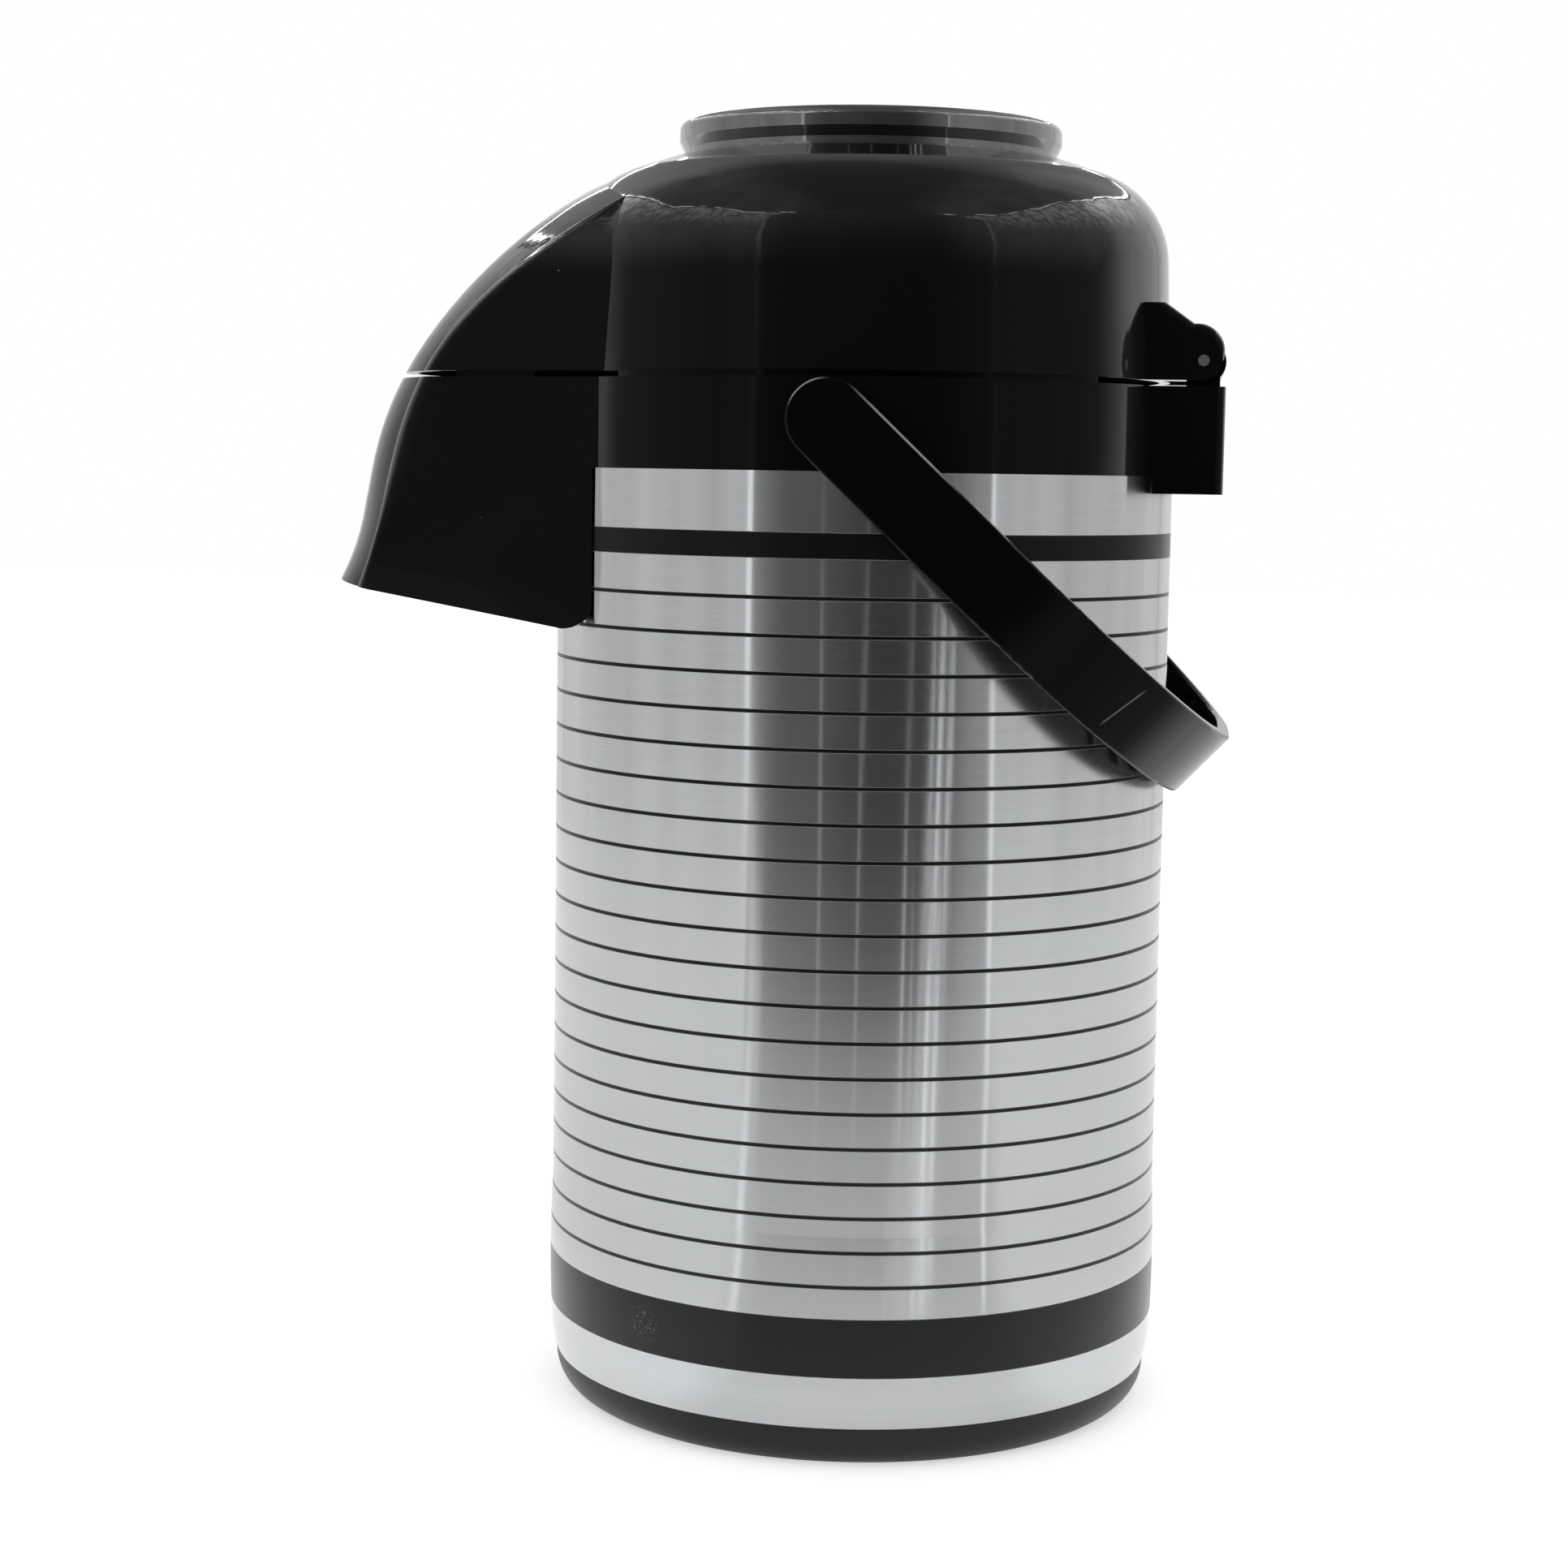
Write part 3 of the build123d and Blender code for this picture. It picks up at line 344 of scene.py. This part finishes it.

# The bellows and the spring shorten towards the lid's base plate as the button goes down; here they only get their own
# mesh data
for name in ("bellows", "pump_spring"):
    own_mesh(nodes[name])


# Camera


def make_camera():
    """Camera where the photograph was taken from."""
    ahead = Vector((sin(camera_yaw) * cos(camera_pitch), cos(camera_yaw) * cos(camera_pitch), sin(camera_pitch)))
    side = Vector((cos(camera_yaw), -sin(camera_yaw), 0.0))
    up = side.cross(ahead)
    right = side * cos(camera_roll) + up * sin(camera_roll)
    top = up * cos(camera_roll) - side * sin(camera_roll)
    axes = [from_camera_side(*v) for v in (right, top, -ahead)]
    camera = bpy.data.objects.new("camera", bpy.data.cameras.new("camera"))
    camera.data.lens = camera_lens
    camera.data.sensor_width = 36.0
    camera.data.clip_start = 0.05
    camera.data.clip_end = 50.0
    turned = Matrix(axes).transposed().to_4x4()
    camera.matrix_world = Matrix.Translation(from_camera_side(0.0, -camera_distance, camera_height)) @ turned
    bpy.context.scene.collection.objects.link(camera)
    bpy.context.scene.camera = camera


make_camera()


# Studio


def stage_mesh(name, corners, faces, material):
    """A sheet that belongs to the studio."""
    mesh = bpy.data.meshes.new(name)
    mesh.from_pydata([tuple(c) for c in corners], [], faces)
    mesh.materials.append(material)
    made = bpy.data.objects.new(name, mesh)
    bpy.context.scene.collection.objects.link(made)
    return made


def mirror_only(made):
    """Let only reflections see this."""
    made.visible_camera = False
    made.visible_diffuse = False
    made.visible_transmission = False
    made.visible_shadow = False
    made.visible_volume_scatter = False


def lit(name, level_of):
    """Sheet material that only glows, by a level worked out in the shader."""
    p = Paint(name)
    p.material.cycles.emission_sampling = "NONE"
    level = level_of(p)
    colour = p.node("ShaderNodeCombineColor", {}, {"Red": level, "Green": level, "Blue": level})
    return p.finish(
        Base_Color=grey(0.0), Roughness=1.0, Specular_IOR_Level=0.0, Emission_Color=colour, Emission_Strength=1.0,
    )


def make_world():
    """White all round: pure white for the background, a little less as light."""
    world = bpy.data.worlds.new("studio")
    world.use_nodes = True
    tree = world.node_tree
    tree.nodes.clear()
    path = tree.nodes.new("ShaderNodeLightPath")
    shown = tree.nodes.new("ShaderNodeBackground")
    shown.inputs["Color"].default_value = grey(1.0)
    light = tree.nodes.new("ShaderNodeBackground")
    light.inputs["Color"].default_value = grey(0.86)
    mix = tree.nodes.new("ShaderNodeMixShader")
    end = tree.nodes.new("ShaderNodeOutputWorld")
    tree.links.new(path.outputs["Is Camera Ray"], mix.inputs["Fac"])
    tree.links.new(light.outputs[0], mix.inputs[1])
    tree.links.new(shown.outputs[0], mix.inputs[2])
    tree.links.new(mix.outputs[0], end.inputs["Surface"])
    bpy.context.scene.world = world
    world.cycles_visibility.glossy = False


def make_floor():
    """Pale floor that stays white to the camera away from the flask's shadow."""
    p = Paint("floor")
    p.material.cycles.emission_sampling = "NONE"
    soft = p.noise(p.place, 3.0, 2.0)
    colour = p.blend(soft, grey(0.80), grey(0.84))
    p.finish(Base_Color=colour, Roughness=0.9, Specular_IOR_Level=0.0)
    path = p.node("ShaderNodeLightPath", {}, {}, None)
    seen, mirrored = Signal(p, path.outputs["Is Camera Ray"]), Signal(p, path.outputs["Is Glossy Ray"])
    across = p.x * cos(camera_turn) + p.y * sin(camera_turn)
    ahead = p.x * sin(camera_turn) - p.y * cos(camera_turn)
    # Painted shade and light in the floor's glow as reflections see it: darker in a wedge ahead of the flask, lighter
    # close round its base.
    painted_shade_ahead = (ahead + across * 1.3).above(0.0, 0.03) * (ahead - across * 0.9).above(0.0, 0.03)
    near = (p.x * p.x + p.y * p.y).below(0.034, 0.022)
    lift = p.node("ShaderNodeEmission", {}, {
        "Color": grey(1.0), "Strength": seen * 0.52 + mirrored * (0.22 - painted_shade_ahead * 0.20 + near * 0.30),
    })
    both = p.node("ShaderNodeAddShader", {}, {0: Signal(p, p.surface.outputs[0]), 1: lift})
    p.tree.links.new(both.socket, p.tree.nodes["Material Output"].inputs["Surface"])
    half = 6.0
    stage_mesh("floor", [(-half, -half, 0), (half, -half, 0), (half, half, 0), (-half, half, 0)],
               [(0, 1, 2, 3)], p.material)


# The dark side of the studio, in front of the flask. The lines on it and on the floor are the thin bright
# edges and folds of its cloth, which the casing and the lid mirror. Places are as from_camera_side takes them.
screen_y = -0.602
screen_x = (-0.485, 0.625)
screen_top = 0.78
wall = screen_y + 0.004
floor_line = 0.002
cloth_lines = [
    ("left_edge", 0.042, 1.25, [
        (-0.49, wall, 0.78), (-0.49, wall, 0.24), (-0.499, wall, 0.17), (-0.462, wall, 0.094), (-0.426, wall, 0.038),
        (-0.389, wall, 0.012), (-0.392, -0.54, floor_line), (-0.237, -0.321, floor_line),
        (-0.137, -0.193, floor_line), (-0.09, -0.13, floor_line),
    ]),
    ("right_edge", 0.030, 1.30, [
        (0.60, wall, 0.80), (0.604, wall, 0.21), (0.652, wall, 0.08), (0.655, wall, 0.004), (0.541, -0.498, floor_line),
        (0.282, -0.287, floor_line), (0.158, -0.18, floor_line),
    ]),
    ("fold_1", 0.011, 1.5, [
        (0.28, wall, 0.18), (0.266, wall, 0.108), (0.256, wall, 0.068), (0.252, wall, 0.057), (0.235, -0.595, floor_line),
        (0.138, -0.387, floor_line), (0.065, -0.24, floor_line),
    ]),
    ("fold_2", 0.013, 2.6, [
        (0.325, wall, 0.184), (0.312, wall, 0.15), (0.303, wall, 0.106), (0.296, wall, 0.066), (0.288, wall, 0.055),
        (0.267, -0.584, floor_line), (0.16, -0.378, floor_line), (0.077, -0.236, floor_line),
    ]),
    ("fold_3", 0.012, 2.4, [
        (0.322, wall, 0.181), (0.375, wall, 0.171), (0.372, wall, 0.166), (0.35, wall, 0.103), (0.343, wall, 0.062),
        (0.33, wall, 0.052), (0.298, -0.568, floor_line), (0.179, -0.368, floor_line), (0.088, -0.231, floor_line),
    ]),
    ("fold_4", 0.009, 1.3, [
        (0.175, wall, 0.083), (0.172, wall, 0.062), (0.167, wall, 0.004), (0.097, -0.4, floor_line),
        (0.042, -0.245, floor_line),
    ]),
    ("fold_5", 0.009, 1.3, [
        (0.208, wall, 0.038), (0.203, -0.598, floor_line), (0.119, -0.394, floor_line), (0.054, -0.243, floor_line),
    ]),
    ("faint_1", 0.009, 0.55, [(-0.148, wall, 0.217), (-0.14, wall, 0.164), (-0.136, wall, 0.076), (-0.132, wall, 0.004)]),
    ("faint_2", 0.009, 0.50, [(0.019, wall, 0.217), (0.018, wall, 0.187), (0.004, wall, 0.131), (0.001, wall, 0.004)]),
    ("faint_3", 0.009, 0.40, [(0.189, wall, 0.217), (0.185, wall, 0.182), (0.173, wall, 0.111), (0.171, wall, 0.087)]),
]


cloth_lines += [
    ("shade_left", 0.010, 0.20, [(-0.73, 1.08, 0.70), (-0.73, 1.08, 0.01)]),
    ("shade_right", 0.010, 0.20, [(0.82, 1.0, 0.70), (0.82, 1.0, 0.01)]),
]


def make_screen():
    """Dark screen behind the camera that only reflections see."""
    def level(p):
        rise = ((p.z - 0.25) / (screen_top - 0.25)).clipped()
        across = p.x * cos(camera_turn) + p.y * sin(camera_turn)
        left = across.below(-0.07, 0.17) * 0.07 + across.below(-0.38, 0.12) * 0.15
        right = across.above(0.38, 0.16) * 0.30
        return rise * 0.24 + left + right + 0.036

    left, right = screen_x
    corners = [from_camera_side(x, screen_y, z) for x, z in
               ((left, 0.0), (right, 0.0), (right, screen_top), (left, screen_top))]
    mirror_only(stage_mesh("dark_screen", corners, [(0, 1, 2, 3)], lit("dark_screen", level)))


def make_cloth_line(name, share, level, points):
    """Thin bright line through the points, wider further from the flask by share."""
    corners, faces = [], []
    for i, (x, y, z) in enumerate(points):
        half = share * (x * x + y * y) ** 0.5 / 2
        corners += [from_camera_side(x - half, y, z), from_camera_side(x + half, y, z)]
        if i:
            faces.append((2 * i - 2, 2 * i - 1, 2 * i + 1, 2 * i))
    mirror_only(stage_mesh(name, corners, faces, lit(name, lambda p: p.z * 0.0 + level)))


# The pale cloth all round. Its seam with the roof runs up and down in straight stretches between these corners,
# each an angle from the camera's side, to the right, and a height.
tent_radius = 1.35
roof_rise = 1.75
seam_corners = [
    (-180, 0.72), (-152, 0.84), (-132, 1.13), (-112, 1.30), (-92, 1.24), (-70, 1.36), (-52, 1.22), (0, 1.30),
    (52, 1.22), (74, 1.40), (97, 1.52), (128, 1.28), (152, 0.88), (180, 0.72),
]


def seam_height(angle):
    """Height of the roof's seam at an angle from the camera's side, with small puckers."""
    for (a, low), (b, high) in zip(seam_corners, seam_corners[1:]):
        if a <= angle <= b:
            puckers = 0.010 * sin(radians(17 * angle)) + 0.006 * sin(radians(41 * angle))
            return low + (high - low) * (angle - a) / (b - a) + puckers


def cloth_band(name, inset, low_of, high_of, level):
    """Band of cloth all round, between two heights that depend on the angle."""
    corners, faces = [], []
    reach = tent_radius - inset
    for angle in range(-180, 181):
        x, y = reach * sin(radians(angle)), -reach * cos(radians(angle))
        corners += [from_camera_side(x, y, low_of(angle)), from_camera_side(x, y, high_of(angle))]
        if angle > -180:
            last = len(corners)
            faces.append((last - 4, last - 2, last - 1, last - 3))
    mirror_only(stage_mesh(name, corners, faces, lit(name, level)))


def make_tent():
    """Pale cloth with soft upright folds, a bright puckered seam, and a dimmer roof."""
    def wall_level(p):
        turn = p.y.math("ARCTAN2", p.y, p.x)
        ring = p.point(turn.math("COSINE", turn), turn.math("SINE", turn), p.z * 0.3)
        folds = p.noise(ring, 5.0, 3.0, 0.6)
        drapes = p.noise(ring, 26.0, 2.0, 0.6)
        behind = p.y.above(0.35, 0.35)
        glow = p.z.above(1.0, 0.30) * (0.3 + drapes.above(0.5, 0.12) * 1.6)
        return 0.34 + folds * 0.45 + drapes * 0.13 + behind * 0.12 + glow

    def roof_level(p):
        across = (p.x * cos(camera_turn) + p.y * sin(camera_turn)).size()
        broad = p.noise(p.point(p.x, p.y, 0.0), 2.4, 3.0, 0.6)
        return 0.24 + across.above(0.60, 0.30) * broad * 0.6

    cloth_band("cloth_wall", 0.0, lambda angle: 0.0, lambda angle: seam_height(angle), wall_level)
    cloth_band("cloth_above_seam", 0.0, lambda angle: seam_height(angle), lambda angle: roof_rise, roof_level)
    cloth_band("seam_light", 0.02, lambda angle: seam_height(angle) - 0.012, lambda angle: seam_height(angle) + 0.016,
               lambda p: p.noise(p.place, 7.0, 3.0).above(0.44, 0.12) * 8.0 + 0.5)
    cloth_band("seam_shade", 0.03, lambda angle: seam_height(angle) - 0.040, lambda angle: seam_height(angle) - 0.014,
               lambda p: p.noise(p.place, 6.0) * 0.3)
    half = tent_radius + 0.1
    corners = [(-half, -half, roof_rise), (half, -half, roof_rise), (half, half, roof_rise), (-half, half, roof_rise)]
    mirror_only(stage_mesh("roof", corners, [(0, 1, 2, 3)], lit("roof", roof_level)))


make_world()
make_floor()
make_screen()
make_tent()
for cloth_line in cloth_lines:
    make_cloth_line(*cloth_line)
bpy.context.scene.view_settings.view_transform = "Standard"
